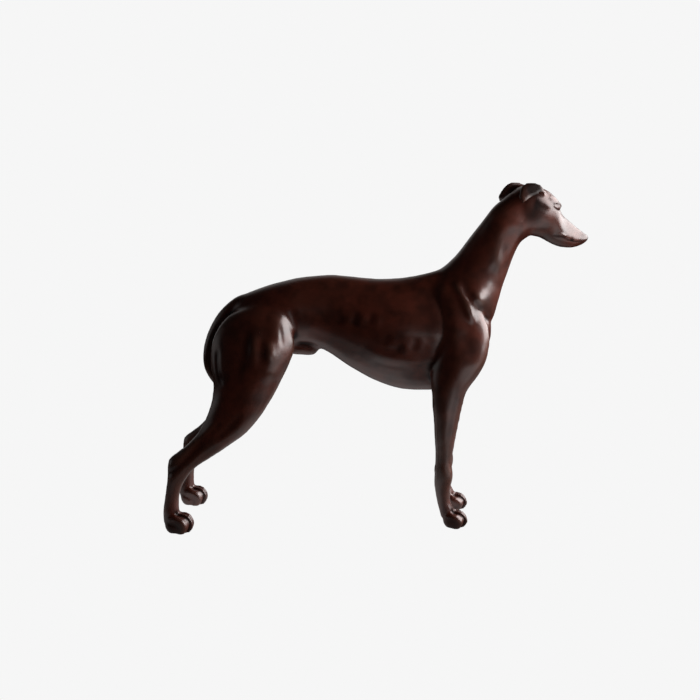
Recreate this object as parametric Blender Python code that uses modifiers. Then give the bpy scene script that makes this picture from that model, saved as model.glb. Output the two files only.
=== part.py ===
"""Greyhound statue: one casting that stands on its four paws.

The dog is worked out in units of a seventieth of its height at the withers, so
a unit is a centimetre at life size. +X runs toward the nose, +Y toward the
dog's left side and +Z up, with the floor at zero. It is modelled square and
symmetric first, then the head is turned and one foreleg put forward.
"""

import math

import bmesh
import bpy
import numpy as np

WITHERS_HEIGHT = 0.70
UNIT = WITHERS_HEIGHT / 70.0

HEAD_TURN = math.radians(20.0)
HEAD_PIVOT = 43.5
LEFT_FORELEG_STEP = 1.6
LEFT_HOCK_STEP = 0.5

REMESH_SIZE = 0.32
TRIANGLES = 9300
DETAIL_SHARE = 0.003
RING = 28
STEPS = 4


def key(low, high, half, y=0.0, level=0.5, under=2.0, over=2.0):
    """One section of a mass, seen from the side.

    low and high are its ends in the XZ plane, half its half width along Y,
    level how far up it is widest, and under and over how square each half is.
    """
    return (*low, *high, half, y, level, under, over)


def limb(points):
    """Sections square to a path of (x, z, y, half thickness, half width)."""
    keys = []
    for i, (x, z, y, thick, wide) in enumerate(points):
        before = points[max(i - 1, 0)]
        after = points[min(i + 1, len(points) - 1)]
        run = math.hypot(after[0] - before[0], after[1] - before[1])
        nx = -(after[1] - before[1]) / run * thick
        nz = (after[0] - before[0]) / run * thick
        keys.append(key((x - nx, z - nz), (x + nx, z + nz), wide, y))
    return keys


def eased(keys):
    """The sections with more between them, on a smooth curve through all."""
    rows = np.array(keys, dtype=float)
    ends = np.vstack([2 * rows[0] - rows[1], rows, 2 * rows[-1] - rows[-2]])
    out = []
    for i in range(1, len(ends) - 2):
        a, b, c, d = ends[i - 1:i + 3]
        for step in range(STEPS):
            t = step / STEPS
            out.append(0.5 * (2 * b + (c - a) * t + (2 * a - 5 * b + 4 * c - d) * t ** 2
                              + (3 * b - a - 3 * c + d) * t ** 3))
    out.append(rows[-1])
    return out


def ring_points(row, side):
    x0, z0, x1, z1, half, y, level, under, over = row
    for i in range(RING):
        angle = 2 * math.pi * i / RING
        up, out = math.cos(angle), math.sin(angle)
        power = 2 / (over if up > 0 else under)
        up = math.copysign(abs(up) ** power, up)
        out = math.copysign(abs(out) ** power, out)
        along = level + up * (1 - level if up > 0 else level)
        yield (x0 + (x1 - x0) * along, side * (y + half * out), z0 + (z1 - z0) * along)


def mass(bm, keys, side=1):
    """A closed loft through the sections."""
    rings = [[bm.verts.new(p) for p in ring_points(row, side)] for row in eased(keys)]
    faces = [bm.faces.new(rings[0]), bm.faces.new(rings[-1])]
    for one, two in zip(rings, rings[1:]):
        for i in range(RING):
            j = (i + 1) % RING
            faces.append(bm.faces.new((one[i], one[j], two[j], two[i])))
    bmesh.ops.recalc_face_normals(bm, faces=faces)


def ball(bm, centre, radii, side=1, tilt=0.0):
    """A closed ellipsoid, tilted about Y by degrees."""
    made = bmesh.ops.create_icosphere(bm, subdivisions=3, radius=1.0)["verts"]
    c, s = math.cos(math.radians(tilt)), math.sin(math.radians(tilt))
    for v in made:
        x, y, z = (v.co[i] * radii[i] for i in range(3))
        v.co = (centre[0] + x * c - z * s, side * (centre[1] + y), centre[2] + x * s + z * c)
    faces = list({f for v in made for f in v.link_faces})
    bmesh.ops.recalc_face_normals(bm, faces=faces)


def trunk(bm):
    mass(bm, [
        key((-33.2, 50.5), (-31.0, 61.0), 2.6),
        key((-29.0, 48.0), (-28.3, 62.9), 5.0),
        key((-23.5, 47.5), (-22.0, 65.2), 6.6),
        key((-17.0, 48.4), (-15.6, 66.9), 6.7, level=0.55),
        key((-12.0, 49.4), (-11.0, 67.6), 6.3, level=0.55),
        key((-6.0, 47.0), (-5.0, 68.0), 6.2, level=0.55),
        key((0.5, 42.6), (0.5, 67.6), 6.9, level=0.55, under=1.9),
        key((7.1, 39.0), (7.0, 67.0), 7.9, level=0.55, under=1.85),
        key((13.7, 36.8), (13.4, 67.2), 8.5, level=0.55, under=1.85, over=1.9),
        key((20.3, 36.4), (19.8, 68.3), 8.3, level=0.52, under=1.85, over=1.8),
        key((26.2, 37.0), (24.4, 69.6), 7.6, level=0.48, under=1.9, over=1.8),
        key((32.4, 40.2), (29.4, 70.4), 6.6, level=0.45),
        key((36.4, 45.6), (33.6, 68.0), 5.2, level=0.45),
        key((38.2, 51.5), (37.0, 63.0), 3.2),
    ])
    mass(bm, [
        key((-36.2, 50.0), (-34.6, 57.0), 1.6),
        key((-34.6, 45.5), (-33.0, 59.0), 3.0),
        key((-30.0, 43.5), (-29.0, 60.0), 4.0),
        key((-25.0, 44.5), (-24.0, 60.0), 4.4),
        key((-20.0, 47.0), (-19.0, 60.0), 4.0),
    ])


def neck(bm):
    mass(bm, [
        key((37.0, 54.0), (22.0, 64.0), 5.2),
        key((38.4, 57.0), (23.2, 68.6), 6.2),
        key((39.8, 61.0), (25.6, 70.6), 6.1, level=0.48),
        key((40.9, 65.0), (28.6, 73.6), 5.6, level=0.48),
        key((42.4, 69.4), (31.7, 77.8), 5.1, level=0.48),
        key((43.8, 73.6), (34.8, 82.0), 4.6, level=0.48),
        key((45.4, 76.7), (37.6, 86.0), 4.3, level=0.5),
        key((47.8, 78.3), (40.4, 88.3), 4.2, level=0.5),
        key((49.8, 79.8), (43.6, 90.2), 3.9),
        key((51.0, 82.5), (47.0, 89.0), 2.6),
    ])


def head(bm):
    mass(bm, [
        key((43.0, 81.0), (41.4, 86.5), 1.8),
        key((45.8, 79.0), (43.2, 90.0), 4.0, level=0.6),
        key((48.6, 78.4), (46.6, 91.6), 4.7, level=0.66, over=2.4),
        key((51.6, 77.7), (50.8, 91.0), 4.75, level=0.68, under=1.8, over=2.6),
        key((53.8, 76.6), (54.0, 89.3), 4.2, level=0.68, under=1.7, over=2.6),
        key((55.6, 75.8), (56.0, 87.2), 3.4, level=0.62, under=1.8, over=2.4),
        key((57.4, 75.2), (57.9, 84.0), 2.75, level=0.52, over=2.1),
        key((59.2, 74.9), (60.4, 82.1), 2.4, level=0.48),
        key((61.0, 74.8), (62.4, 80.6), 2.2, level=0.48),
        key((62.8, 75.0), (64.3, 79.3), 1.95, level=0.5),
        key((64.6, 75.6), (65.9, 78.2), 1.6, level=0.55),
        key((66.2, 76.7), (66.9, 77.6), 0.75),
    ])
    for side in (-1, 1):
        ball(bm, (49.4, 3.3, 82.4), (3.6, 1.0, 3.4), side, 20)
        ball(bm, (53.3, 2.95, 87.5), (2.0, 1.2, 0.9), side, -35)
        ball(bm, (54.6, 3.0, 86.1), (1.05, 0.95, 1.0), side)
        ball(bm, (53.6, 2.75, 83.5), (3.0, 1.1, 1.1), side, -28)
        ball(bm, (65.4, 0.75, 77.6), (0.85, 0.65, 0.75), side)
        mass(bm, limb([
            (54.6, 78.9, 1.7, 0.8, 0.8),
            (57.6, 78.5, 1.6, 0.95, 0.8),
            (60.8, 77.7, 1.35, 0.95, 0.75),
            (64.4, 77.2, 0.9, 0.6, 0.6),
        ]), side)


def ear(bm, side):
    mass(bm, limb([
        (49.0, 89.0, 3.2, 1.1, 0.8),
        (47.9, 90.4, 4.0, 1.5, 1.0),
        (46.1, 90.9, 4.9, 1.75, 1.0),
        (44.3, 90.1, 5.6, 1.65, 0.8),
        (43.0, 88.9, 6.0, 1.25, 0.65),
        (42.0, 87.6, 6.2, 0.5, 0.4),
    ]), side)


def foreleg(bm, side):
    mass(bm, [
        key((20.8, 66.0), (25.4, 68.6), 1.4, 1.6),
        key((20.8, 63.2), (28.6, 67.4), 2.1, 3.9),
        key((21.6, 58.8), (32.8, 64.0), 2.5, 5.2),
        key((22.6, 53.4), (36.4, 58.4), 3.0, 5.7),
        key((22.6, 48.6), (37.4, 52.4), 3.4, 6.0),
        key((22.0, 44.2), (36.6, 46.7), 3.5, 6.6),
        key((21.7, 40.2), (34.3, 42.2), 3.3, 7.1),
        key((21.8, 36.8), (31.2, 37.9), 2.9, 7.3, level=0.45),
        key((22.0, 33.2), (30.1, 33.6), 2.6, 7.4, level=0.45),
        key((22.4, 29.9), (29.4, 30.1), 2.4, 7.4),
        key((22.6, 26.2), (28.7, 26.2), 2.2, 7.4),
        key((23.0, 21.6), (27.9, 21.6), 1.95, 7.3),
        key((23.0, 18.2), (27.5, 18.2), 1.85, 7.3),
        key((22.8, 15.2), (27.3, 15.2), 2.05, 7.3, over=2.5),
        key((22.6, 13.4), (27.1, 13.6), 2.05, 7.3, over=2.5),
        key((22.9, 11.5), (26.7, 11.7), 1.85, 7.3),
        key((23.2, 9.4), (26.5, 9.6), 1.7, 7.3),
        key((23.8, 6.8), (26.7, 7.0), 1.8, 7.3),
        key((24.4, 4.4), (27.4, 4.8), 2.1, 7.3),
        key((24.8, 2.6), (28.2, 3.0), 2.2, 7.3),
    ], side)
    ball(bm, (23.2, 7.3, 13.3), (0.8, 0.7, 1.0), side)
    ball(bm, (35.0, 4.8, 56.4), (2.2, 2.2, 3.4), side, -25)
    paw(bm, 25.1, 7.3, 3.8, side)


def hind_leg(bm, side):
    mass(bm, [
        key((-29.0, 59.6), (-21.0, 62.6), 1.4, 3.4),
        key((-32.8, 57.2), (-18.2, 59.8), 3.0, 4.9),
        key((-35.8, 53.0), (-16.6, 54.6), 3.9, 6.1, level=0.55),
        key((-36.9, 48.4), (-15.6, 49.2), 4.6, 6.6, level=0.6),
        key((-36.9, 43.6), (-16.4, 44.8), 4.5, 6.9, level=0.62),
        key((-36.4, 39.6), (-18.2, 40.6), 4.1, 7.4, level=0.62),
        key((-36.8, 35.6), (-20.5, 36.3), 3.6, 8.1, level=0.6),
        key((-37.9, 32.0), (-23.6, 31.5), 3.1, 8.7, level=0.6),
        key((-39.4, 28.8), (-27.5, 26.9), 2.7, 9.3, level=0.6),
        key((-41.2, 26.1), (-32.0, 23.6), 2.3, 9.7, level=0.58),
        key((-43.6, 23.6), (-36.8, 20.4), 1.95, 10.2),
        key((-46.0, 21.8), (-40.2, 18.3), 1.9, 10.5),
        key((-48.2, 19.9), (-42.4, 16.4), 1.95, 10.8),
        key((-48.7, 17.2), (-43.7, 14.6), 1.9, 10.9),
        key((-48.9, 13.9), (-44.8, 12.8), 1.75, 11.0),
        key((-49.5, 10.2), (-45.7, 10.0), 1.6, 11.1),
        key((-50.0, 7.0), (-45.9, 7.1), 1.7, 11.2),
        key((-50.2, 4.4), (-45.8, 5.2), 2.0, 11.2),
        key((-50.1, 2.6), (-45.6, 3.2), 2.2, 11.2),
    ], side)
    paw(bm, -49.8, 11.1, 5.1, side)


def paw(bm, heel, y, knuckle, side):
    """Four arched toes round a pad, with the back of the pad at heel."""
    mass(bm, [
        key((heel - 0.1, 0.2), (heel + 0.3, 3.0), 1.1, y),
        key((heel + 0.7, -0.5), (heel + 1.0, 3.6), 1.9, y),
        key((heel + 3.0, -0.7), (heel + 3.0, 3.4), 2.1, y),
        key((heel + 4.8, -0.6), (heel + 4.6, 2.6), 1.8, y),
        key((heel + 5.6, -0.1), (heel + 5.4, 1.4), 1.3, y),
    ], side)
    for out, start, reach, thick in ((-1.05, 2.4, 7.0, 1.25), (1.05, 2.4, 7.0, 1.25),
                                     (-2.0, 1.8, 5.9, 1.1), (2.0, 1.8, 5.9, 1.1)):
        spread = 1.0 if out > 0 else -1.0
        mass(bm, limb([
            (heel + start - 0.6, knuckle - 0.9, y + out * 0.75, thick * 0.8, thick * 0.8),
            (heel + start + 1.2, knuckle - thick, y + out * 0.9, thick * 0.98, thick * 0.88),
            (heel + reach - 1.9, knuckle * 0.82 - thick, y + out, thick, thick * 0.9),
            (heel + reach - 1.15, 1.3, y + out + spread * 0.1, thick * 0.9, thick * 0.85),
            (heel + reach - 2.1, 0.1, y + out, thick * 0.6, thick * 0.55),
        ]), side)


def tail(bm):
    mass(bm, limb([
        (-25.5, 61.6, 0, 1.6, 1.8),
        (-28.6, 60.6, 0, 2.2, 2.3),
        (-31.8, 58.6, 0, 2.1, 2.1),
        (-34.8, 55.4, 0, 1.95, 1.9),
        (-37.0, 51.4, 0, 1.8, 1.8),
        (-38.2, 47.0, 0, 1.75, 1.7),
        (-38.1, 42.8, 0, 1.65, 1.6),
        (-36.2, 39.2, 0, 1.5, 1.5),
        (-33.2, 36.6, 0, 1.35, 1.4),
        (-30.2, 35.2, 0, 1.15, 1.2),
        (-27.4, 34.8, 0, 0.9, 0.9),
        (-25.4, 34.8, 0, 0.5, 0.5),
    ]))


def sheath(bm):
    mass(bm, [
        key((-21.5, 47.6), (-21.5, 51.5), 1.6),
        key((-16.4, 46.5), (-16.4, 51.5), 2.0),
        key((-13.2, 46.2), (-13.0, 51.0), 1.9),
        key((-10.8, 46.0), (-10.4, 50.4), 1.6),
        key((-9.4, 46.5), (-8.8, 49.6), 1.1),
        key((-8.7, 47.2), (-8.1, 48.6), 0.6),
    ])


def build_masses():
    bm = bmesh.new()
    trunk(bm)
    neck(bm)
    head(bm)
    tail(bm)
    sheath(bm)
    for side in (-1, 1):
        ear(bm, side)
        foreleg(bm, side)
        hind_leg(bm, side)
    return as_object(bm, "masses")


def as_object(bm, name):
    mesh = bpy.data.meshes.new(name)
    bm.to_mesh(mesh)
    bm.free()
    made = bpy.data.objects.new(name, mesh)
    bpy.context.scene.collection.objects.link(made)
    return made


def settle(made):
    """Bakes the modifiers of an object into its mesh."""
    bpy.context.view_layer.update()
    graph = bpy.context.evaluated_depsgraph_get()
    mesh = bpy.data.meshes.new_from_object(made.evaluated_get(graph))
    made.modifiers.clear()
    old = made.data
    made.data = mesh
    bpy.data.meshes.remove(old)


def read_points(mesh):
    points = np.empty(len(mesh.vertices) * 3)
    mesh.vertices.foreach_get("co", points)
    return points.reshape(-1, 3)


def write_points(mesh, points):
    mesh.vertices.foreach_set("co", points.ravel())
    mesh.update()


def read_normals(mesh):
    normals = np.empty(len(mesh.vertices) * 3)
    mesh.vertex_normals.foreach_get("vector", normals)
    return normals.reshape(-1, 3)


def near(value, start, end):
    """Smooth step from 0 at start to 1 at end."""
    t = np.clip((value - start) / (end - start), 0.0, 1.0)
    return t * t * (3 - 2 * t)


def softness(points):
    """How much each part of the dog is smoothed: the head, ears and paws least."""
    x, y, z = points.T
    amount = np.full(len(points), 1.0)
    amount *= 1 - 0.6 * near(z, 88.0, 90.0)
    amount *= 1 - 0.75 * near(x, 50.0, 54.0)
    amount *= 1 - 0.6 * near(-z, -34.0, -24.0)
    amount *= 1 - 0.6 * near(-z, -9.0, -5.0)
    return amount


def relax(mesh, passes):
    """Evens out the surface, pass by pass, without shrinking it."""
    points = read_points(mesh)
    edges = np.empty(len(mesh.edges) * 2, dtype=np.int64)
    mesh.edges.foreach_get("vertices", edges)
    one, two = edges.reshape(-1, 2).T
    count = np.bincount(edges, minlength=len(points))[:, None]
    amount = softness(points)[:, None]
    for turn in range(passes * 2):
        total = np.zeros_like(points)
        for axis in range(3):
            total[:, axis] = (np.bincount(one, points[two, axis], len(points))
                              + np.bincount(two, points[one, axis], len(points)))
        strength = 0.60 if turn % 2 == 0 else -0.575
        points += amount * strength * (total / count - points)
    write_points(mesh, points)


def path_distance(points, path):
    """Distance in the side view from a path, and how far along it, 0 to 1."""
    flat = points[:, (0, 2)]
    best = np.full(len(points), 1e9)
    place = np.zeros(len(points))
    lengths = [math.dist(a, b) for a, b in zip(path, path[1:])]
    run = 0.0
    for a, b, length in zip(path, path[1:], lengths):
        start = np.array(a)
        step = np.array(b) - start
        t = np.clip((flat - start) @ step / length ** 2, 0, 1)
        gap = np.linalg.norm(flat - start - t[:, None] * step, axis=1)
        closer = gap < best
        best[closer] = gap[closer]
        place[closer] = (run + t[closer] * length) / sum(lengths)
        run += length
    return best, place


def stroke(mesh, path, width, height):
    """Raises a soft ridge, or sinks a groove, along a path on both outer sides."""
    points = read_points(mesh)
    normals = read_normals(mesh)
    gap, place = path_distance(points, path)
    outward = np.clip(normals[:, 1] * np.sign(points[:, 1]) * 1.6, 0, 1)
    fade = near(place, 0.0, 0.18) * near(-place, -1.0, -0.82)
    ends = np.where((place <= 0) | (place >= 1), 0.0, 1.0)
    amount = height * np.exp(-(gap / width) ** 2) * outward * fade * ends
    write_points(mesh, points + normals * amount[:, None])


def carve(mesh):
    """The muscle and bone relief that shows from a few steps away."""
    shoulder_edge = [(19.0, 67.2), (20.8, 63.6), (22.4, 58.0), (22.8, 53.0), (22.2, 48.6),
                     (21.4, 44.6), (21.3, 40.6), (21.2, 36.8)]
    stroke(mesh, shoulder_edge, 0.9, -0.75)
    stroke(mesh, [(22.4, 66.0), (24.0, 60.0), (24.4, 53.0), (23.6, 46.0)], 1.2, 0.25)
    stroke(mesh, [(27.0, 66.8), (30.4, 61.6), (33.4, 57.4), (35.6, 55.0)], 1.0, 0.45)
    stroke(mesh, [(30.4, 67.5), (34.0, 62.0), (37.6, 57.6)], 1.0, -0.3)
    stroke(mesh, [(25.2, 56.5), (29.0, 52.5), (32.6, 48.5), (33.6, 44.0)], 1.1, -0.4)
    stroke(mesh, [(28.4, 41.0), (27.6, 36.0), (26.6, 30.0), (25.4, 22.0)], 0.7, -0.25)
    for top, sink in ((-2.5, 0.12), (1.5, 0.16), (5.5, 0.18), (9.5, 0.18), (13.5, 0.14)):
        stroke(mesh, [(top + 2.4, 57.5), (top + 0.8, 53.5), (top - 1.8, 48.5)], 1.0, -sink)
    stroke(mesh, [(4.0, 44.2), (10.0, 42.4), (16.0, 41.8), (20.6, 42.4)], 1.2, 0.3)
    stroke(mesh, [(3.0, 46.4), (10.0, 45.2), (16.0, 45.0), (20.4, 46.0)], 1.1, -0.35)
    stroke(mesh, [(-16.6, 60.4), (-16.0, 55.4), (-15.0, 51.4), (-12.6, 50.2)], 1.1, -0.5)
    stroke(mesh, [(-26.8, 57.0), (-27.0, 51.0), (-28.4, 45.5), (-30.6, 40.5)], 1.2, -0.4)
    stroke(mesh, [(-21.0, 58.0), (-20.6, 52.0), (-22.4, 46.0)], 1.6, 0.35)
    stroke(mesh, [(-24.6, 57.5), (-24.2, 51.5), (-25.6, 46.5)], 1.0, -0.3)
    stroke(mesh, [(-35.0, 50.0), (-34.6, 44.0), (-34.6, 38.0), (-36.4, 32.6)], 0.9, -0.35)
    stroke(mesh, [(-33.0, 30.6), (-38.0, 26.4), (-42.6, 21.8), (-45.8, 18.6)], 0.9, -0.6)
    stroke(mesh, [(-28.0, 33.0), (-32.0, 28.6), (-36.0, 25.0)], 1.0, -0.3)
    stroke(mesh, [(48.0, 89.9), (46.4, 90.3), (44.8, 89.4), (43.4, 88.4)], 0.6, -0.45)
    stroke(mesh, [(53.4, 78.2), (56.9, 77.9), (59.2, 77.0), (62.0, 76.5), (65.2, 76.6)], 0.3, -0.35)
    stroke(mesh, [(51.0, 85.6), (54.0, 84.6), (57.0, 82.4)], 0.8, -0.3)


def pose(mesh):
    """Turns the head to the dog's left and steps the left foreleg forward."""
    points = read_points(mesh)
    x, y, z = points.T.copy()
    along = (x - 33.0) * 0.6 + (z - 68.0) * 0.8
    turn = HEAD_TURN * near(along, 3.0, 18.0) * near(x, 20.0, 24.0)
    c, s = np.cos(turn), np.sin(turn)
    points[:, 0] = HEAD_PIVOT + (x - HEAD_PIVOT) * c - y * s
    points[:, 1] = (x - HEAD_PIVOT) * s + y * c
    left = near(y, 1.0, 5.0)
    points[:, 0] += LEFT_FORELEG_STEP * left * near(-z, -58.0, -36.0) * near(x, 10.0, 18.0)
    points[:, 0] += LEFT_HOCK_STEP * left * near(-z, -34.0, -22.0) * near(-x, 10.0, 18.0)
    write_points(mesh, points)


def finish(made):
    """Cuts the soles flat on the floor and sets the dog at its own origin."""
    bm = bmesh.new()
    bm.from_mesh(made.data)
    bmesh.ops.triangulate(bm, faces=bm.faces)
    whole = bm.verts[:] + bm.edges[:] + bm.faces[:]
    cut = bmesh.ops.bisect_plane(bm, geom=whole, dist=1e-5, plane_co=(0, 0, 0), plane_no=(0, 0, 1),
                                 clear_inner=True)
    rim = [e for e in cut["geom_cut"] if isinstance(e, bmesh.types.BMEdge)]
    bmesh.ops.holes_fill(bm, edges=rim, sides=0)
    low = [min(v.co[i] for v in bm.verts) for i in range(3)]
    high = [max(v.co[i] for v in bm.verts) for i in range(3)]
    shift = (-(low[0] + high[0]) / 2, -(low[1] + high[1]) / 2, 0.0)
    bmesh.ops.translate(bm, verts=bm.verts, vec=shift)
    bmesh.ops.scale(bm, verts=bm.verts, vec=(UNIT, UNIT, UNIT))
    bm.to_mesh(made.data)
    bm.free()
    print("shift", shift, "box", low, high, "triangles", len(made.data.polygons))


def main():
    for old in list(bpy.data.objects):
        bpy.data.objects.remove(old)
    dog = build_masses()
    union = dog.modifiers.new("union", "REMESH")
    union.mode = "VOXEL"
    union.voxel_size = REMESH_SIZE
    settle(dog)
    relax(dog.data, 80)
    carve(dog.data)
    relax(dog.data, 4)
    pose(dog.data)
    spare = dog.vertex_groups.new(name="plain")
    plain = softness(read_points(dog.data))
    for i, share in enumerate(plain):
        spare.add([i], float(share), "REPLACE")
    thin = dog.modifiers.new("thin", "DECIMATE")
    thin.ratio = TRIANGLES / (2 * len(dog.data.polygons))
    thin.vertex_group = spare.name
    thin.vertex_group_factor = DETAIL_SHARE
    settle(dog)
    finish(dog)
    dog.name = "greyhound"
    dog.data.name = "greyhound"


main()
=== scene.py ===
"""Bronze greyhound: the looks of the statue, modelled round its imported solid.

The dog is worked out in units of a seventieth of its height at the withers, so
a unit is a centimetre at life size. +X runs toward the nose, +Y toward the
dog's left side and +Z up, with the floor at zero. It is modelled square and
symmetric, its relief is drawn on the skin, and then it takes its pose.
"""

import math

import bmesh
import bpy
import numpy as np
from bpy.props import FloatProperty, FloatVectorProperty, PointerProperty
from bpy.types import Operator, Panel, PropertyGroup
from mathutils import Matrix, Vector, noise
from mathutils.bvhtree import BVHTree


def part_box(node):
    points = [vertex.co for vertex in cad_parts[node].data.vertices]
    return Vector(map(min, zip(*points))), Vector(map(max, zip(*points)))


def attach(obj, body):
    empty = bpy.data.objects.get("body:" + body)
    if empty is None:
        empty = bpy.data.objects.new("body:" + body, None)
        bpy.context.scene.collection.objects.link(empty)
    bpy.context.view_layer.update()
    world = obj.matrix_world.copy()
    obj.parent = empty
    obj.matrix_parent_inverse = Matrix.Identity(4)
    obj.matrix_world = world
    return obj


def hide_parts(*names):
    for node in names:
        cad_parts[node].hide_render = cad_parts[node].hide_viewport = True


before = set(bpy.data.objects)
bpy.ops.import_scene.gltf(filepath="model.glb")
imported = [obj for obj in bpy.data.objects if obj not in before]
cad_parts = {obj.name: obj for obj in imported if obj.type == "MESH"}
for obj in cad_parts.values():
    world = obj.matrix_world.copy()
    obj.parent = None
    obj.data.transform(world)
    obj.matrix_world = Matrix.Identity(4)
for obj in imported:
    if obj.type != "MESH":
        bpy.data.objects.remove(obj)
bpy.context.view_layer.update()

bl_info = {
    "name": "Bronze greyhound",
    "version": (1, 0, 0),
    "blender": (4, 5, 0),
    "location": "3D View > Sidebar > Greyhound",
    "description": "Models a standing greyhound in patinated bronze, and a plain studio round it",
    "category": "Object",
}

UNITS_AT_WITHERS = 70.0

# Points round a section, and steps from one given section to the next.
RING = 28
STEPS = 4

# Smoothing passes: of the skin on a grid of SMOOTH_GRID units, after the fine
# faces are made, and after the relief is drawn. Each pass draws the points in
# toward their neighbours by one share of the way, and lets them out by another.
PASSES = 80
SMOOTH_GRID = 0.32
FINE_PASSES = 10
LAST_PASSES = 2
DRAW_IN = 0.60
LET_OUT = -0.575

# Averaging passes: for the skin that hollows are measured from, and of their depth.
HOLLOW_PASSES = 24
DEPTH_PASSES = 2

# Waves that the maker's hand leaves in the skin, as height and frequency.
HAND_WAVES = ((0.05, 0.21), (0.02, 0.6))

# Drawn relief: how far out a spot seen from the side is looked for, and how far
# from the middle when it misses the dog; how far a line reaches, in widths; and
# how dark its colour is drawn for its depth, as patina in it and as painted shade.
FAR_OUT = 40.0
BESIDE = 6.0
LINE_REACH = 2.8
CREASE_REACH = 5.0
STAIN_FOR_DEPTH = 1.6

# Paws, as heel, distance from the middle, height and length.
FORE_PAW = (24.9, 7.3, 4.6, 7.3)
HIND_PAW = (-50.2, 11.2, 5.3, 8.3)

# Places with finer faces, as centre and radius: the eye, the muzzle and the paws.
FINE = (
    (54.5, 3.0, 84.0, 5.4),
    (61.5, 1.0, 77.5, 5.2),
    (28.0, 7.3, 2.5, 5.0),
    (-46.0, 11.1, 3.0, 5.4),
)

# The ears lean out below this height and in above it, by this much for each unit.
EAR_MIDDLE = 90.2
EAR_LEAN = -0.55

# The head turns about an upright line here, along X. The turn starts and ends at
# these distances up the neck, from a place (x, z) at its root and in this direction.
HEAD_PIVOT = 43.5
NECK_ROOT = (33.0, 68.0)
NECK_WAY = (0.6, 0.8)
NECK_TURN = (7.0, 22.0)

# How deep the skin lies under its smoothed self, in units, from where the patina
# starts to change to where the change is full: in a hollow, and at an edge, which
# stands out. WORN_SHARE is how much worn metal shows there at most.
HOLLOW_DEPTH = (0.04, 0.36)
EDGE_DEPTH = (-0.05, -0.40)
WORN_SHARE = 0.5

# The studio, in metres. The camera and the window are set out from MIDDLE, along X.
MIDDLE = -0.0759
CAMERA_PLACE = (MIDDLE, -2.6, 0.96)
CAMERA_AIM = (MIDDLE, 0.0, 0.475)
WINDOW_PLACE = (MIDDLE + 2.60, 0.45, 1.50)
WINDOW_AIM = (MIDDLE, 0.45, 0.80)
WINDOW_SIZE = (4.3, 1.9)

# The lit patch of floor under the dog: how its place is scaled, and where it fades out.
PATCH_SCALE = (0.6, 1.12, 1.0)
PATCH_FADE = (0.10, 0.95)

# Shade on the floor round the near paws, as centre and reach, with how far it is
# full and how much light it leaves there.
PAW_SHADES = (((0.28, -0.22, 0.0), 0.31), ((-0.46, -0.26, 0.0), 0.29))
SHADE_CORE = 0.12
SHADE_LIGHT = 0.25

# The bright floor before the dog: where it fades in and out along X, where it
# fades in aside, and its strength.
FRONT_IN = (0.25, 0.90)
FRONT_OUT = (2.8, 2.0)
FRONT_ASIDE = (-0.30, -0.60)
FRONT_BOUNCE = 0.7

# The room's light from the far side, the rear and the front: from which share of
# a direction to which it grows, and from how much to how much.
FAR_LIGHT = (0.35, 0.95, 0.004, 0.5)
REAR_LIGHT = (-0.80, -1.0, 0.0, 0.35)
FRONT_LIGHT = (0.70, 1.0, 0.0, 1.0)

# The floor, the camera's sensor in millimetres, and how far the camera sees.
FLOOR_RADIUS = 6.0
SENSOR_WIDTH = 36.0
CLIP_END = 60.0


class DogSizes(PropertyGroup):
    """The statue's size, its pose, and how deep its relief goes."""

    withers: FloatProperty(
        name="Withers height", description="Height of the back over the forelegs",
        default=0.70, min=0.1, unit="LENGTH")
    head_turn: FloatProperty(
        name="Head turn", description="How far the head looks to the dog's left",
        default=math.radians(20.0), subtype="ANGLE")
    foreleg_step: FloatProperty(
        name="Foreleg step", description="How far the left foreleg stands forward, in units",
        default=1.6)
    hock_step: FloatProperty(
        name="Hock step", description="How far the left hind foot stands forward, in units",
        default=0.5)
    voxel: FloatProperty(
        name="Skin grid", description="Spacing of the points of the skin, in units",
        default=0.45, min=0.1)
    relief: FloatProperty(
        name="Relief", description="Depth of all the drawn relief, against the statue's own",
        default=1.0, min=0.0)


class PatinaLook(PropertyGroup):
    """The colours of the bronze."""

    # The deep brown is also the colour of the painted shade drawn on the skin.
    deep: FloatVectorProperty(
        name="Deep brown", description="Patina in the hollows",
        default=(0.0100, 0.0022, 0.0011), subtype="COLOR", min=0.0, max=1.0)
    body: FloatVectorProperty(
        name="Brown", description="Patina over most of the dog",
        default=(0.086, 0.0178, 0.0088), subtype="COLOR", min=0.0, max=1.0)
    red: FloatVectorProperty(
        name="Red brown", description="Warmer clouds in the patina",
        default=(0.131, 0.0252, 0.0128), subtype="COLOR", min=0.0, max=1.0)
    worn: FloatVectorProperty(
        name="Worn bronze", description="Metal that shows where the relief stands out",
        default=(0.12, 0.058, 0.040), subtype="COLOR", min=0.0, max=1.0)


class StudioLook(PropertyGroup):
    """The floor, the lights and the camera."""

    floor: FloatProperty(
        name="Floor", description="Brightness of the plain floor and background",
        default=0.922, min=0.0, max=1.0)
    bounce: FloatProperty(
        name="Floor bounce", description="Light that the floor near the dog throws up at it",
        default=0.52, min=0.0)
    window: FloatProperty(
        name="Window light", description="Power of the wide light in front of the dog",
        default=140.0, min=0.0, subtype="POWER")
    lens: FloatProperty(
        name="Lens", description="Focal length of the camera",
        default=50.0, min=1.0, unit="CAMERA")


def key(low, high, half, y=0.0, level=0.5, under=2.0, over=2.0):
    """One section of a mass, seen from the side.

    low and high are its ends in the XZ plane, half is half its width along Y,
    y where its middle is, level how far up it is widest, and under and over
    how square its lower and its upper half are.
    """
    return (*low, *high, half, y, level, under, over)


def limb(points):
    """Sections square to a path of (x, z, y, half thickness, half width)."""
    keys = []
    for i, (x, z, y, thick, wide) in enumerate(points):
        before = points[max(i - 1, 0)]
        after = points[min(i + 1, len(points) - 1)]
        run = math.hypot(after[0] - before[0], after[1] - before[1])
        nx = -(after[1] - before[1]) / run * thick
        nz = (after[0] - before[0]) / run * thick
        keys.append(key((x - nx, z - nz), (x + nx, z + nz), wide, y))
    return keys


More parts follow.
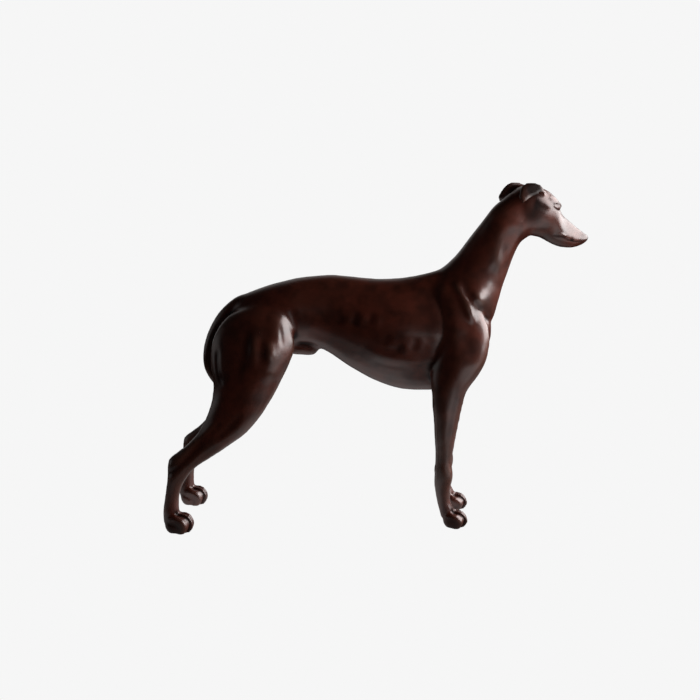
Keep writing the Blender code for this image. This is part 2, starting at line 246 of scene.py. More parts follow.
def eased(rows, steps):
    """The rows with more between them, on a smooth curve through all."""
    rows = np.array(rows, dtype=float)
    ends = np.vstack([2 * rows[0] - rows[1], rows, 2 * rows[-1] - rows[-2]])
    out = []
    for i in range(1, len(ends) - 2):
        a, b, c, d = ends[i - 1:i + 3]
        for step in range(steps):
            t = step / steps
            out.append(0.5 * (2 * b + (c - a) * t + (2 * a - 5 * b + 4 * c - d) * t ** 2
                              + (3 * b - a - 3 * c + d) * t ** 3))
    out.append(rows[-1])
    return np.array(out)


def section_point(row, up, out):
    """Where a point of the unit circle goes on a section."""
    x0, z0, x1, z1, half, y, level, under, over = row
    power = 2 / (over if up > 0 else under)
    up = math.copysign(abs(up) ** power, up)
    out = math.copysign(abs(out) ** power, out)
    along = level + up * (1 - level if up > 0 else level)
    return (x0 + (x1 - x0) * along, y + half * out, z0 + (z1 - z0) * along)


def add_to(whole, part):
    """Moves all of one bmesh into another."""
    carrier = bpy.data.meshes.new("carrier")
    part.to_mesh(carrier)
    part.free()
    whole.from_mesh(carrier)
    bpy.data.meshes.remove(carrier)


def mass(whole, keys):
    """A closed loft through the sections."""
    bm = bmesh.new()
    loops = []
    for row in eased(keys, STEPS):
        ring = bmesh.ops.create_circle(bm, segments=RING, radius=1.0)["verts"]
        for v in ring:
            v.co = section_point(row, v.co.x, v.co.y)
        loops.append(list({e for v in ring for e in v.link_edges}))
    for one, two in zip(loops, loops[1:]):
        bmesh.ops.bridge_loops(bm, edges=one + two)
    bmesh.ops.holes_fill(bm, edges=bm.edges, sides=0)
    bmesh.ops.recalc_face_normals(bm, faces=bm.faces)
    add_to(whole, bm)


def ball(whole, centre, radii, tilt=0.0):
    """A closed ellipsoid, tilted about Y by degrees."""
    place = (Matrix.Translation(centre) @ Matrix.Rotation(math.radians(-tilt), 4, "Y")
             @ Matrix.Diagonal((*radii, 1.0)))
    bm = bmesh.new()
    bmesh.ops.create_icosphere(bm, subdivisions=3, radius=1.0, matrix=place)
    add_to(whole, bm)


def trunk(whole):
    """Chest, loin and rump, and the flesh between the thighs."""
    mass(whole, [
        key((-33.2, 50.5), (-31.0, 61.0), 2.6),
        key((-29.0, 48.0), (-28.3, 62.9), 5.0),
        key((-23.5, 47.5), (-22.0, 65.2), 6.6),
        key((-17.0, 48.4), (-15.6, 66.9), 6.7, level=0.55),
        key((-12.0, 49.4), (-11.0, 67.6), 6.3, level=0.55),
        key((-6.0, 47.0), (-5.0, 68.0), 6.2, level=0.55),
        key((0.5, 42.6), (0.5, 67.6), 6.9, level=0.55, under=1.9),
        key((7.1, 39.0), (7.0, 67.0), 7.9, level=0.55, under=1.85),
        key((13.7, 36.8), (13.4, 67.2), 8.5, level=0.55, under=1.85, over=1.9),
        key((20.3, 36.4), (19.8, 68.3), 8.3, level=0.52, under=1.85, over=1.8),
        key((26.2, 37.0), (24.4, 69.6), 8.1, level=0.48, under=1.9, over=1.8),
        key((32.4, 40.2), (29.4, 70.4), 6.6, level=0.45),
        key((36.4, 45.6), (33.6, 68.0), 5.2, level=0.45),
        key((38.2, 51.5), (37.0, 63.0), 3.2),
    ])
    mass(whole, [
        key((-36.2, 50.0), (-34.6, 57.0), 1.6),
        key((-34.6, 45.5), (-33.0, 59.0), 3.0),
        key((-30.0, 43.5), (-29.0, 60.0), 4.0),
        key((-25.0, 44.5), (-24.0, 60.0), 4.4),
        key((-20.0, 47.0), (-19.0, 60.0), 4.0),
    ])


def neck(whole):
    """From between the shoulders to the skull."""
    mass(whole, [
        key((37.0, 54.0), (22.0, 64.0), 5.2),
        key((38.6, 56.4), (23.2, 68.6), 6.8, level=0.44),
        key((39.9, 61.0), (25.6, 70.6), 6.5, level=0.46),
        key((40.9, 65.0), (28.6, 73.6), 5.6, level=0.48),
        key((42.4, 69.4), (31.7, 77.8), 5.1, level=0.48),
        key((43.8, 73.6), (34.8, 82.0), 4.4, level=0.48),
        key((45.4, 76.7), (37.6, 86.0), 4.1, level=0.5),
        key((47.8, 78.3), (40.4, 88.3), 4.0, level=0.5),
        key((49.8, 79.8), (43.6, 90.2), 4.2),
        key((51.0, 82.5), (47.0, 89.0), 3.6),
    ])


def head(whole):
    """Skull and muzzle."""
    mass(whole, [
        key((43.0, 81.0), (41.4, 86.5), 1.8),
        key((45.8, 79.0), (43.2, 90.0), 4.0, level=0.52, under=2.2),
        key((48.6, 78.4), (46.6, 91.6), 4.5, level=0.60, under=2.3, over=3.0),
        key((51.6, 77.7), (50.8, 91.0), 4.5, level=0.64, under=2.2, over=3.0),
        key((53.8, 76.6), (54.0, 89.3), 4.0, level=0.66, under=2.0, over=2.7),
        key((55.6, 75.8), (56.0, 87.2), 3.4, level=0.50, under=1.9, over=1.9),
        key((57.4, 75.2), (57.9, 84.0), 2.8, level=0.42, under=2.1, over=1.8),
        key((59.2, 74.9), (60.4, 82.1), 2.45, level=0.40, under=2.2, over=1.8),
        key((61.0, 74.8), (62.4, 80.6), 2.2, level=0.42, under=2.2, over=1.85),
        key((62.8, 75.0), (64.3, 79.3), 1.95, level=0.46, over=2.1),
        key((64.6, 75.6), (65.9, 78.2), 1.6, level=0.55, over=2.3),
        key((66.2, 76.7), (66.9, 77.6), 0.75),
    ])


def face(whole):
    """The paired forms of the head: brow, eye, cheekbone, nostril and lip."""
    ball(whole, (53.2, 2.9, 87.6), (2.1, 1.2, 0.85), -35)
    ball(whole, (54.9, 3.0, 86.3), (1.05, 1.0, 1.0))
    ball(whole, (53.0, 3.2, 84.6), (2.4, 0.8, 0.7), -32)
    ball(whole, (65.4, 0.75, 77.6), (0.85, 0.65, 0.75))
    mass(whole, limb([
        (52.4, 79.2, 1.8, 0.6, 0.6),
        (54.6, 78.8, 1.75, 0.9, 0.8),
        (57.0, 78.3, 1.55, 0.95, 0.8),
        (59.8, 77.8, 1.25, 0.85, 0.7),
        (63.4, 77.3, 0.9, 0.6, 0.6),
    ]))


def ear(whole):
    """A three-cornered leaf laid back from its root and leaning out over the neck."""
    flap = bmesh.new()
    mass(flap, [
        key((49.8, 89.3), (49.6, 91.0), 0.7, 4.0, under=2.6, over=2.6),
        key((48.5, 89.7), (48.3, 92.0), 0.65, 5.0, under=2.6, over=2.6),
        key((47.0, 89.3), (46.2, 92.5), 0.6, 5.2, under=2.6, over=2.6),
        key((45.4, 88.6), (44.2, 92.3), 0.6, 5.1, under=2.6, over=2.6),
        key((43.8, 87.8), (42.6, 91.0), 0.55, 4.9, under=2.6, over=2.6),
        key((42.2, 87.0), (41.5, 88.7), 0.45, 4.7),
    ])
    lean = Matrix.Identity(4)
    lean[1][2] = EAR_LEAN
    middle = Matrix.Translation((0.0, 0.0, -EAR_MIDDLE))
    bmesh.ops.transform(flap, matrix=lean, verts=flap.verts, space=middle)
    add_to(whole, flap)


def foreleg(whole):
    """From the shoulder blade to the toes."""
    mass(whole, [
        key((20.8, 66.0), (25.4, 68.6), 1.4, 1.6),
        key((20.8, 63.2), (28.6, 67.4), 2.0, 3.9),
        key((21.6, 58.8), (32.0, 63.6), 2.3, 5.0),
        key((22.6, 53.4), (35.2, 57.9), 2.6, 5.7, level=0.40, under=1.7),
        key((22.4, 48.6), (37.0, 52.4), 3.1, 6.1, level=0.42, under=1.6),
        key((21.6, 44.2), (36.4, 46.7), 3.5, 6.6, under=1.6),
        key((21.3, 40.2), (34.3, 42.2), 3.3, 7.0, under=1.7),
        key((21.8, 36.8), (31.2, 37.9), 2.9, 7.3, level=0.45),
        key((22.0, 33.2), (30.1, 33.6), 2.6, 7.4, level=0.42, over=1.7),
        key((22.4, 29.9), (29.4, 30.1), 2.4, 7.4, level=0.40, over=1.7),
        key((22.6, 26.2), (28.7, 26.2), 2.2, 7.4, level=0.40, over=1.7),
        key((23.0, 21.6), (27.9, 21.6), 1.95, 7.3, level=0.42, over=1.8),
        key((23.0, 18.2), (27.5, 18.2), 1.85, 7.3, level=0.45),
        key((22.9, 15.2), (27.8, 15.2), 2.05, 7.3, over=2.5),
        key((22.8, 13.4), (27.8, 13.6), 2.05, 7.3, over=2.5),
        key((22.9, 11.5), (27.4, 11.7), 1.95, 7.3),
        key((23.2, 9.4), (27.2, 9.6), 1.85, 7.3),
        key((23.7, 6.8), (27.3, 7.0), 1.9, 7.3),
        key((24.3, 4.6), (28.2, 5.0), 2.1, 7.3),
        key((24.8, 2.6), (28.8, 3.2), 2.2, 7.3),
    ])
    ball(whole, (23.3, 7.3, 16.0), (0.65, 0.9, 1.3))
    ball(whole, (34.4, 4.3, 53.6), (2.4, 2.2, 3.4), -22)
    paw(whole, FORE_PAW)


def hind_leg(whole):
    """From the hip to the toes."""
    mass(whole, [
        key((-29.0, 59.6), (-21.0, 62.6), 1.4, 3.4),
        key((-32.8, 57.2), (-15.8, 60.2), 3.0, 4.7, over=1.6),
        key((-35.8, 53.0), (-14.8, 55.0), 3.8, 5.9, level=0.55, over=1.5),
        key((-36.9, 48.4), (-14.6, 49.2), 4.4, 6.6, level=0.58, over=1.5),
        key((-36.9, 43.6), (-16.2, 44.8), 4.5, 7.2, level=0.6, over=1.7),
        key((-36.4, 39.6), (-18.2, 40.6), 4.2, 7.7, level=0.58, over=1.6),
        key((-36.8, 35.6), (-20.5, 36.3), 3.6, 8.1, level=0.56, over=1.7),
        key((-37.9, 32.0), (-23.6, 31.5), 3.1, 8.7, level=0.6),
        key((-39.4, 28.8), (-27.5, 26.9), 2.7, 9.3, level=0.6),
        key((-41.2, 26.1), (-32.0, 23.6), 2.3, 9.7, level=0.58),
        key((-43.6, 23.6), (-36.8, 20.4), 1.95, 10.2),
        key((-46.0, 21.8), (-40.2, 18.3), 1.9, 10.5),
        key((-48.2, 19.9), (-42.4, 16.4), 1.95, 10.8),
        key((-48.7, 17.2), (-43.7, 14.6), 1.9, 10.9),
        key((-48.9, 13.9), (-44.8, 12.8), 1.75, 11.0),
        key((-49.5, 10.2), (-45.7, 10.0), 1.6, 11.1),
        key((-50.0, 7.0), (-45.9, 7.1), 1.7, 11.2),
        key((-50.2, 4.4), (-45.8, 5.2), 2.0, 11.2),
        key((-50.1, 2.6), (-45.6, 3.2), 2.2, 11.2),
    ])
    paw(whole, HIND_PAW)


def paw(whole, place):
    """Four arched toes round a pad."""
    heel, y, top, reach = place
    mass(whole, [
        key((heel + 0.5, 1.2), (heel + 0.5, 3.4), 1.3, y),
        key((heel + 1.1, 0.1), (heel + 1.2, 3.9), 2.2, y),
        key((heel + 2.4, -0.8), (heel + 2.6, 3.9), 2.65, y),
        key((heel + 4.2, -0.8), (heel + 4.4, 3.2), 2.5, y),
        key((heel + 5.2, -0.5), (heel + 5.3, 1.9), 1.9, y),
    ])
    for out, shorter in ((-2.1, 1.5), (-0.78, 0.0), (0.78, 0.0), (2.1, 1.5)):
        front = heel + reach - shorter
        height = top - 0.25 * shorter
        mass(whole, limb([
            (front - 5.0, height - 1.5, y + out * 0.7, 0.9, 0.8),
            (front - 3.3, height - 1.2, y + out * 0.95, 1.2, 0.92),
            (front - 1.9, height - 1.8, y + out * 1.02, 1.2, 0.92),
            (front - 1.1, height * 0.36, y + out, 1.1, 0.88),
            (front - 1.7, 0.5, y + out, 0.9, 0.8),
            (front - 2.6, -0.3, y + out, 0.6, 0.6),
        ]))


def paw_relief(carver):
    """Grooves between the toes, and the dark patina in them."""
    for heel, y, top, reach in (FORE_PAW, HIND_PAW):
        for out, back in ((-1.5, 0.8), (0.0, 0.0), (1.5, 0.8)):
            front = heel + reach - back
            carver.line([(front - 4.4, y + out * 0.9, top), (front - 3.0, y + out, top - 0.1),
                         (front - 1.2, y + out, top - 1.1), (front - 0.2, y + out, top * 0.5),
                         (front - 0.7, y + out, 0.3)],
                        0.38, -0.5, "crease", ends=(0.2, 0.0), stain=1.0)
        carver.spot((heel + reach - 5.0, y + 0.8, top + 0.2), 0.9, 0.0, stain=0.8)
        carver.spot((heel + 2.6, y + 2.6, 2.0), 2.4, 0.0, stain=0.6)


def tail(whole):
    """Tucked down between the thighs, with its tip turned forward."""
    mass(whole, limb([
        (-25.5, 61.6, 0, 1.6, 1.8),
        (-28.6, 60.6, 0, 2.2, 2.3),
        (-31.8, 58.6, 0, 2.1, 2.1),
        (-34.8, 55.4, 0, 1.95, 1.9),
        (-37.0, 51.4, 0, 1.8, 1.8),
        (-38.2, 47.0, 0, 1.75, 1.7),
        (-38.1, 42.8, 0, 1.65, 1.6),
        (-36.2, 39.2, 0, 1.5, 1.5),
        (-33.2, 36.6, 0, 1.35, 1.4),
        (-30.2, 35.2, 0, 1.15, 1.2),
        (-27.4, 34.8, 0, 0.9, 0.9),
        (-25.4, 34.8, 0, 0.5, 0.5),
    ]))


def sheath(whole):
    """The low form under the loin."""
    mass(whole, [
        key((-21.5, 47.6), (-21.5, 51.5), 1.6),
        key((-16.4, 46.5), (-16.4, 51.5), 2.0),
        key((-13.2, 46.2), (-13.0, 51.0), 1.9),
        key((-10.8, 46.0), (-10.4, 50.4), 1.6),
        key((-9.4, 46.5), (-8.8, 49.6), 1.1),
        key((-8.7, 47.2), (-8.1, 48.6), 0.6),
    ])


def build_masses():
    """All the dog's masses, overlapping, as one object."""
    paired = bmesh.new()
    for part in (face, ear, foreleg, hind_leg):
        part(paired)
    both = paired.verts[:] + paired.edges[:] + paired.faces[:]
    bmesh.ops.mirror(paired, geom=both, matrix=Matrix.Identity(4), merge_dist=-1.0, axis="Y")
    bmesh.ops.recalc_face_normals(paired, faces=paired.faces)
    whole = bmesh.new()
    for part in (trunk, neck, head, tail, sheath):
        part(whole)
    add_to(whole, paired)
    mesh = bpy.data.meshes.new("greyhound_bronze")
    whole.to_mesh(mesh)
    whole.free()
    made = bpy.data.objects.new("greyhound_bronze", mesh)
    bpy.context.scene.collection.objects.link(made)
    return made


def settle(made):
    """Bakes the modifiers of an object into its mesh."""
    bpy.context.view_layer.update()
    graph = bpy.context.evaluated_depsgraph_get()
    mesh = bpy.data.meshes.new_from_object(made.evaluated_get(graph))
    made.modifiers.clear()
    old = made.data
    made.data = mesh
    bpy.data.meshes.remove(old)


def read_points(mesh):
    """The places of a mesh's points, one row each."""
    points = np.empty(len(mesh.vertices) * 3)
    mesh.vertices.foreach_get("co", points)
    return points.reshape(-1, 3)


def write_points(mesh, points):
    """Puts a mesh's points in new places."""
    mesh.vertices.foreach_set("co", points.ravel())
    mesh.update()


def read_normals(mesh):
    """Which way a mesh faces at its points, one row each."""
    normals = np.empty(len(mesh.vertices) * 3)
    mesh.vertex_normals.foreach_get("vector", normals)
    return normals.reshape(-1, 3)


def smooth_step(value, start, end):
    """From 0 at start to 1 at end, eased at both."""
    t = np.clip((value - start) / (end - start), 0.0, 1.0)
    return t * t * (3 - 2 * t)


def softness(points):
    """How much each part of the dog is smoothed: the head, lower legs and paws least."""
    x, y, z = points.T
    amount = np.full(len(points), 1.0)
    amount *= 1 - 0.6 * smooth_step(z, 88.0, 90.0)
    amount *= 1 - 0.5 * smooth_step(x, 50.0, 54.0)
    amount *= 1 - 0.6 * smooth_step(-z, -34.0, -24.0)
    amount *= 1 - 0.6 * smooth_step(-z, -9.0, -5.0)
    return amount


def neighbour_mean(mesh):
    """A function that gives each point's neighbours' mean, for rows of values."""
    edges = np.empty(len(mesh.edges) * 2, dtype=np.int64)
    mesh.edges.foreach_get("vertices", edges)
    one, two = edges.reshape(-1, 2).T
    size = len(mesh.vertices)
    count = np.bincount(edges, minlength=size)

    def mean(values):
        out = np.empty_like(values)
        for axis in range(values.shape[1]):
            out[:, axis] = (np.bincount(one, values[two, axis], size)
                            + np.bincount(two, values[one, axis], size)) / count
        return out

    return mean


def relax(mesh, passes):
    """Evens out the surface, pass by pass, without shrinking it."""
    points = read_points(mesh)
    mean = neighbour_mean(mesh)
    amount = softness(points)[:, None]
    for strength in (DRAW_IN, LET_OUT) * passes:
        points += amount * strength * (mean(points) - points)
    write_points(mesh, points)


def refine(mesh, spots):
    """Splits the faces near each (x, y, z, radius) once, on both sides."""
    bm = bmesh.new()
    bm.from_mesh(mesh)
    centres = np.array([f.calc_center_median()[:] for f in bm.faces])
    centres[:, 1] = np.abs(centres[:, 1])
    chosen = np.zeros(len(centres), dtype=bool)
    for x, y, z, radius in spots:
        chosen |= np.linalg.norm(centres - (x, y, z), axis=1) < radius
    bm.faces.ensure_lookup_table()
    edges = {e for i in np.flatnonzero(chosen) for e in bm.faces[i].edges}
    bmesh.ops.subdivide_edges(bm, edges=list(edges), cuts=1, use_grid_fill=True)
    bm.to_mesh(mesh)
    bm.free()


def keep(mesh, name, values):
    """Leaves one number per point on the mesh."""
    layer = mesh.attributes.new(name, "FLOAT", "POINT")
    layer.data.foreach_set("value", values.astype(np.float32))


def keep_hollows(mesh):
    """Leaves how far each point lies under, or over, the smoothed skin, in units."""
    points = read_points(mesh)
    mean = neighbour_mean(mesh)
    smooth = points.copy()
    for turn in range(HOLLOW_PASSES):
        smooth = mean(smooth)
    depth = ((smooth - points) * read_normals(mesh)).sum(1)[:, None]
    for turn in range(DEPTH_PASSES):
        depth = mean(depth)
    keep(mesh, "hollow", depth[:, 0])


class Carver:
    """Draws relief on the skin of the un-posed dog, the same on both sides.

    A line is a row of spots. A spot of two numbers, (x, z), is seen from the
    side and falls on the outer surface. One of three, (x, y, z), goes to the
    nearest point of the skin.
    """

    def __init__(self, made, depth):
        self.mesh = made.data
        self.depth = depth
        self.points = read_points(self.mesh)
        self.normals = read_normals(self.mesh)
        self.height = np.zeros(len(self.points))
        self.stain = np.zeros(len(self.points))
        graph = bpy.context.evaluated_depsgraph_get()
        self.tree = BVHTree.FromObject(made, graph)

    def fall(self, spot):
        """The place on the skin under a spot, and which way the skin faces there."""
        place = None
        if len(spot) == 2:
            start = Vector((spot[0], FAR_OUT, spot[1]))
            place, normal = self.tree.ray_cast(start, Vector((0, -1, 0)))[:2]
            spot = (spot[0], BESIDE, spot[1])
        if place is None:
            place, normal = self.tree.find_nearest(Vector(spot))[:2]
        return (*place, *normal)

    def line(self, spots, width, height, form="ridge", ends=(0.25, 0.25), stain=None):
        """Raises a line, or sinks it where height is less than zero.

        form is ridge for a round line, crease for a sharp one, and step where
        the skin stands up on the left of the line and falls away on its right.
        The last argument is how dark the colour is drawn there, more in a deeper line: patina that
        gathers in it, and painted shade.
        """
        if stain is None:
            stain = max(0.0, -STAIN_FOR_DEPTH * height) if form != "step" else 0.0
        path = np.array([self.fall(s) for s in eased(spots, 5)])
        starts, steps = path[:-1, :3], np.diff(path[:, :3], axis=0)
        lengths = np.linalg.norm(steps, axis=1) + 1e-9
        run = np.concatenate([[0.0], np.cumsum(lengths)])
        outs = path[:-1, 3:]
        reach = width * (CREASE_REACH if form == "crease" else LINE_REACH)
        for side in (1, -1):
            flip = np.array((1.0, side, 1.0))
            low = path[:, :3].min(0) - reach
            high = path[:, :3].max(0) + reach
            inside = np.flatnonzero(((self.points * flip > low) & (self.points * flip < high)).all(1))
            local = self.points[inside] * flip
            facing = self.normals[inside] * flip
            best = np.full(len(inside), 1e9)
            where = np.zeros(len(inside))
            which = np.zeros(len(inside), dtype=int)
            for i, (start, step, length) in enumerate(zip(starts, steps, lengths)):
                t = np.clip((local - start) @ step / length ** 2, 0, 1)
                gap = np.linalg.norm(local - start - t[:, None] * step, axis=1)
                closer = gap < best
                best[closer] = gap[closer]
                where[closer] = (run[i] + t[closer] * length) / run[-1]
                which[closer] = i
            amount = np.exp(-(best / width) ** 2)
            if form == "crease":
                amount = np.exp(-best / width)
            if form == "step":
                across = np.cross(outs[which], steps[which] / lengths[which][:, None])
                signed = ((local - starts[which]) * across).sum(1) / width
                amount = signed * np.exp(0.5 - signed ** 2) * math.sqrt(2.0)
                amount *= np.exp(-np.clip(best / width - np.abs(signed), 0, None) ** 2)
            amount *= np.clip((facing * outs[which]).sum(1) * 1.6 + 0.1, 0, 1)
            if ends[0]:
                amount *= smooth_step(where, -0.02, ends[0])
            if ends[1]:
                amount *= smooth_step(-where, -1.02, -1 + ends[1])
            self.height[inside] += amount * height
            self.stain[inside] += amount * stain

    def spot(self, place, radius, height, stain=None):
        """A round swelling, or a dent."""
        x, *rest = place
        self.line([place, (x + 0.05, *rest)], radius, height, ends=(0, 0), stain=stain)

    def finish(self):
        """Moves the skin, and leaves the drawn darkness on it for the patina: patina in the lines,
        and painted shade.
        """
        hand = np.array([sum(high * noise.noise(Vector(p) * often) for high, often in HAND_WAVES)
                         for p in self.points])
        moved = self.points + self.normals * ((self.height + hand) * self.depth)[:, None]
        write_points(self.mesh, moved)
        keep(self.mesh, "stain", np.clip(self.stain, 0.0, 1.0))


def neck_relief(carver):
    """The edge of the windpipe, and the swelling and hollow at the neck's root."""
    carver.line([(41.6, 82.4), (40.4, 79.6), (39.9, 76.0), (39.9, 71.5), (38.6, 67.5)], 2.2, 0.25,
                "step")
    carver.spot((32.8, 62.0), 2.65, 1.04)
    carver.line([(31.4, 64.6), (32.9, 61.6), (34.2, 59.4), (35.4, 59.2)], 0.7, -0.20)
    carver.line([(40.6, 77.0), (39.0, 72.0), (36.8, 68.0)], 0.9, -0.06, stain=0.35)


def shoulder_relief(carver):
    """The groove behind the shoulder, its ridges, and the line down the foreleg."""
    rear = [(20.9, 65.0), (23.2, 61.4), (24.4, 57.0), (24.2, 52.4), (22.8, 48.6), (22.3, 44.6)]
    carver.line(rear, 1.2, -0.10, stain=0.35)
    carver.line(rear, 0.35, -0.14, "crease", stain=0.5)
    carver.line([(25.4, 66.2), (27.6, 60.6), (27.8, 54.0), (25.6, 46.6)], 2.2, 0.20)
    carver.line([(27.2, 67.6), (29.3, 63.2), (31.0, 59.4), (32.8, 55.4)], 1.15, 0.68)
    carver.line([(29.6, 55.0), (31.0, 51.0), (32.2, 47.4), (32.6, 45.4)], 1.6, -0.12, stain=0.3)
    carver.line([(28.8, 41.0), (27.8, 36.0), (26.8, 30.0), (25.6, 22.0)], 0.8, -0.12)


def body_relief(carver):
    """Ribs with the hollows between them, the chest's lower band and the flank's fold."""
    # The hollows between the ribs are drawn dark: patina in them, and painted shade.
    for top, high, low, sink in ((-2.4, 58.4, 55.2, 0.10), (1.5, 59.4, 54.8, 0.13),
                                 (5.7, 59.2, 55.4, 0.12), (9.6, 53.6, 50.0, 0.09),
                                 (13.0, 51.0, 48.0, 0.11), (17.0, 52.6, 48.6, 0.08)):
        carver.line([(top + 0.5, high), (top, (high + low) / 2), (top - 0.9, low)], 0.9, -sink,
                    stain=3.8 * sink)
        carver.line([(top + 2.4, high - 0.4), (top + 1.8, (high + low) / 2), (top + 1.0, low - 0.6)],
                    1.0, sink * 0.7)
    carver.line([(3.5, 48.8), (8.1, 47.0), (15.0, 45.8), (21.0, 45.2)], 1.4, 0.18)
    carver.line([(5.0, 46.0), (10.0, 44.4), (17.0, 43.6)], 0.8, -0.10)
    carver.line([(-15.6, 61.4), (-15.0, 56.0), (-14.4, 51.6), (-12.0, 50.6)], 1.6, -0.20, stain=0.2)


def thigh_relief(carver):
    """Muscles of the thigh, and the tendon and hollow over the hock."""
    carver.line([(-26.8, 57.0), (-27.0, 51.0), (-28.4, 45.5), (-30.6, 40.5)], 1.4, -0.22)
    carver.line([(-25.4, 56.0), (-25.1, 50.0), (-25.3, 43.0)], 1.5, 0.50, ends=(0.5, 0.5))
    carver.line([(-18.8, 60.0), (-19.2, 55.0), (-19.8, 50.0), (-20.6, 45.0), (-22.2, 40.0)],
                2.4, 0.58, ends=(0.25, 0.2))
    carver.line([(-21.6, 52.6), (-21.2, 49.0), (-21.4, 45.4)], 1.3, 0.5, ends=(0.3, 0.4))
    carver.line([(-18.7, 56.4), (-18.2, 53.0), (-17.8, 49.6)], 0.5, -0.11, ends=(0.4, 0.4),
                stain=0.1)
    carver.line([(-35.0, 50.0), (-34.9, 44.0), (-33.4, 39.4)], 0.7, -0.26)
    carver.line([(-36.4, 26.6), (-40.4, 23.0), (-43.7, 19.7), (-46.8, 17.2), (-48.6, 16.2)],
                1.0, -0.26, ends=(0.4, 0.05), stain=0.5)
    carver.line([(-34.0, 31.6), (-38.4, 27.4), (-43.1, 23.0), (-46.3, 19.8)], 0.8, 0.30)
    carver.line([(-28.0, 33.0), (-32.0, 28.6), (-36.0, 25.0)], 1.0, -0.2)


def head_relief(carver):
    """Mouth and nostril, then cheek, brow and ear, then the eye."""
    # Painted shade in the line of the mouth, with patina in it.
    carver.line([(53.4, 78.2), (56.9, 77.9), (59.2, 77.0), (62.0, 76.5), (65.2, 76.6)], 0.3, -0.12,
                "crease", stain=0.9)
    carver.line([(54.0, 78.6), (56.1, 78.7), (58.4, 78.0)], 0.35, 0.16)
    carver.spot((60.2, 77.2), 0.6, -0.05, stain=0.8)
    # The nostril: a shallow dent, drawn dark as painted shade.
    carver.spot((66.3, 0.9, 77.3), 0.7, -0.12, stain=1.6)
    carver.spot((63.6, 1.5, 78.4), 0.9, -0.06, stain=0.35)
    # Painted shade on the cheek, with no relief under it.
    carver.spot((46.6, 84.0), 2.7, 0.0, stain=0.9)
    carver.line([(46.8, 89.0), (49.8, 87.8), (52.6, 86.3)], 1.0, 0.12, "step")
    # Painted shade below the brow's edge, with no relief under it.
    carver.line([(46.4, 87.4), (49.4, 86.4), (51.6, 84.8)], 1.7, 0.0, stain=0.6)
    carver.line([(49.0, 5.4, 91.2), (46.4, 5.8, 91.0), (43.8, 5.6, 89.6)], 1.5, -0.10)
    # Painted shade inside the ears, with no relief under it.
    carver.spot((46.2, 5.8, 90.8), 3.4, 0.0, stain=1.2)
    carver.spot((45.6, 4.0, 90.6), 2.8, 0.0, stain=1.0)
    carver.line([(50.5, 0.0, 90.9), (53.0, 0.0, 89.6), (55.6, 0.0, 87.9), (57.2, 0.0, 85.4)],
                0.7, -0.2)
    carver.line([(51.0, 3.8, 88.4), (53.2, 3.6, 88.4), (55.0, 3.0, 88.0), (56.3, 2.2, 87.0)],
                0.7, 0.2)
    upper = [(53.0, 4.4, 86.7), (53.8, 4.3, 87.2), (54.8, 4.0, 87.1), (55.6, 3.6, 86.5),
             (56.1, 3.3, 85.7)]
    lower = [(53.0, 4.4, 86.7), (53.7, 4.3, 86.0), (54.6, 4.1, 85.6), (55.4, 3.7, 85.5),
             (56.1, 3.3, 85.6)]
    carver.line(upper, 0.30, 0.17, ends=(0.1, 0.1))
    carver.line(lower, 0.28, 0.10, ends=(0.1, 0.1))
    # Painted shade in the crease over the eye, and a painted shadow under the lower lid.
    carver.line([(x, y, z - 0.3) for x, y, z in upper], 0.18, -0.13, "crease", stain=0.9)
    carver.line([(x, y, z - 0.4) for x, y, z in lower], 0.3, -0.07, stain=0.45)
    carver.spot((54.7, 4.0, 86.3), 0.5, 0.08)
    carver.line([(56.0, 3.3, 85.6), (56.5, 3.1, 84.8), (56.6, 3.0, 84.0)], 0.35, -0.16)


def pose(mesh, sizes):
    """Turns the head to the dog's left and steps the left feet forward."""
    points = read_points(mesh)
    x, y, z = points.T.copy()
    along = (x - NECK_ROOT[0]) * NECK_WAY[0] + (z - NECK_ROOT[1]) * NECK_WAY[1]
    turn = sizes.head_turn * smooth_step(along, *NECK_TURN) * smooth_step(x, 20.0, 24.0)
    c, s = np.cos(turn), np.sin(turn)
    points[:, 0] = HEAD_PIVOT + (x - HEAD_PIVOT) * c - y * s
    points[:, 1] = (x - HEAD_PIVOT) * s + y * c
    left = smooth_step(y, 1.0, 5.0)
    fore = smooth_step(-z, -58.0, -36.0) * smooth_step(x, 10.0, 18.0)
    hind = smooth_step(-z, -34.0, -22.0) * smooth_step(-x, 10.0, 18.0)
    points[:, 0] += left * (sizes.foreleg_step * fore + sizes.hock_step * hind)
    write_points(mesh, points)


def stand(made, shift, unit):
    """Cuts the soles flat on the floor and puts the dog where its solid stands."""
    bm = bmesh.new()
    bm.from_mesh(made.data)
    whole = bm.verts[:] + bm.edges[:] + bm.faces[:]
    cut = bmesh.ops.bisect_plane(bm, geom=whole, dist=1e-5, plane_co=(0, 0, 0), plane_no=(0, 0, 1),
                                 clear_inner=True)
    rim = [e for e in cut["geom_cut"] if isinstance(e, bmesh.types.BMEdge)]
    bmesh.ops.holes_fill(bm, edges=rim, sides=0)
    bmesh.ops.translate(bm, verts=bm.verts, vec=shift)
    bmesh.ops.scale(bm, verts=bm.verts, vec=(unit, unit, unit))
    for face in bm.faces:
        face.smooth = True
    bm.to_mesh(made.data)
    bm.free()


def cad_shift(points, unit):
    """How far the posed dog is from its solid, in units."""
    low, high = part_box("greyhound")
    ends = points.min(0), points.max(0)
    return [(low[i] + high[i]) / 2 / unit - (ends[0][i] + ends[1][i]) / 2 for i in (0, 1)]


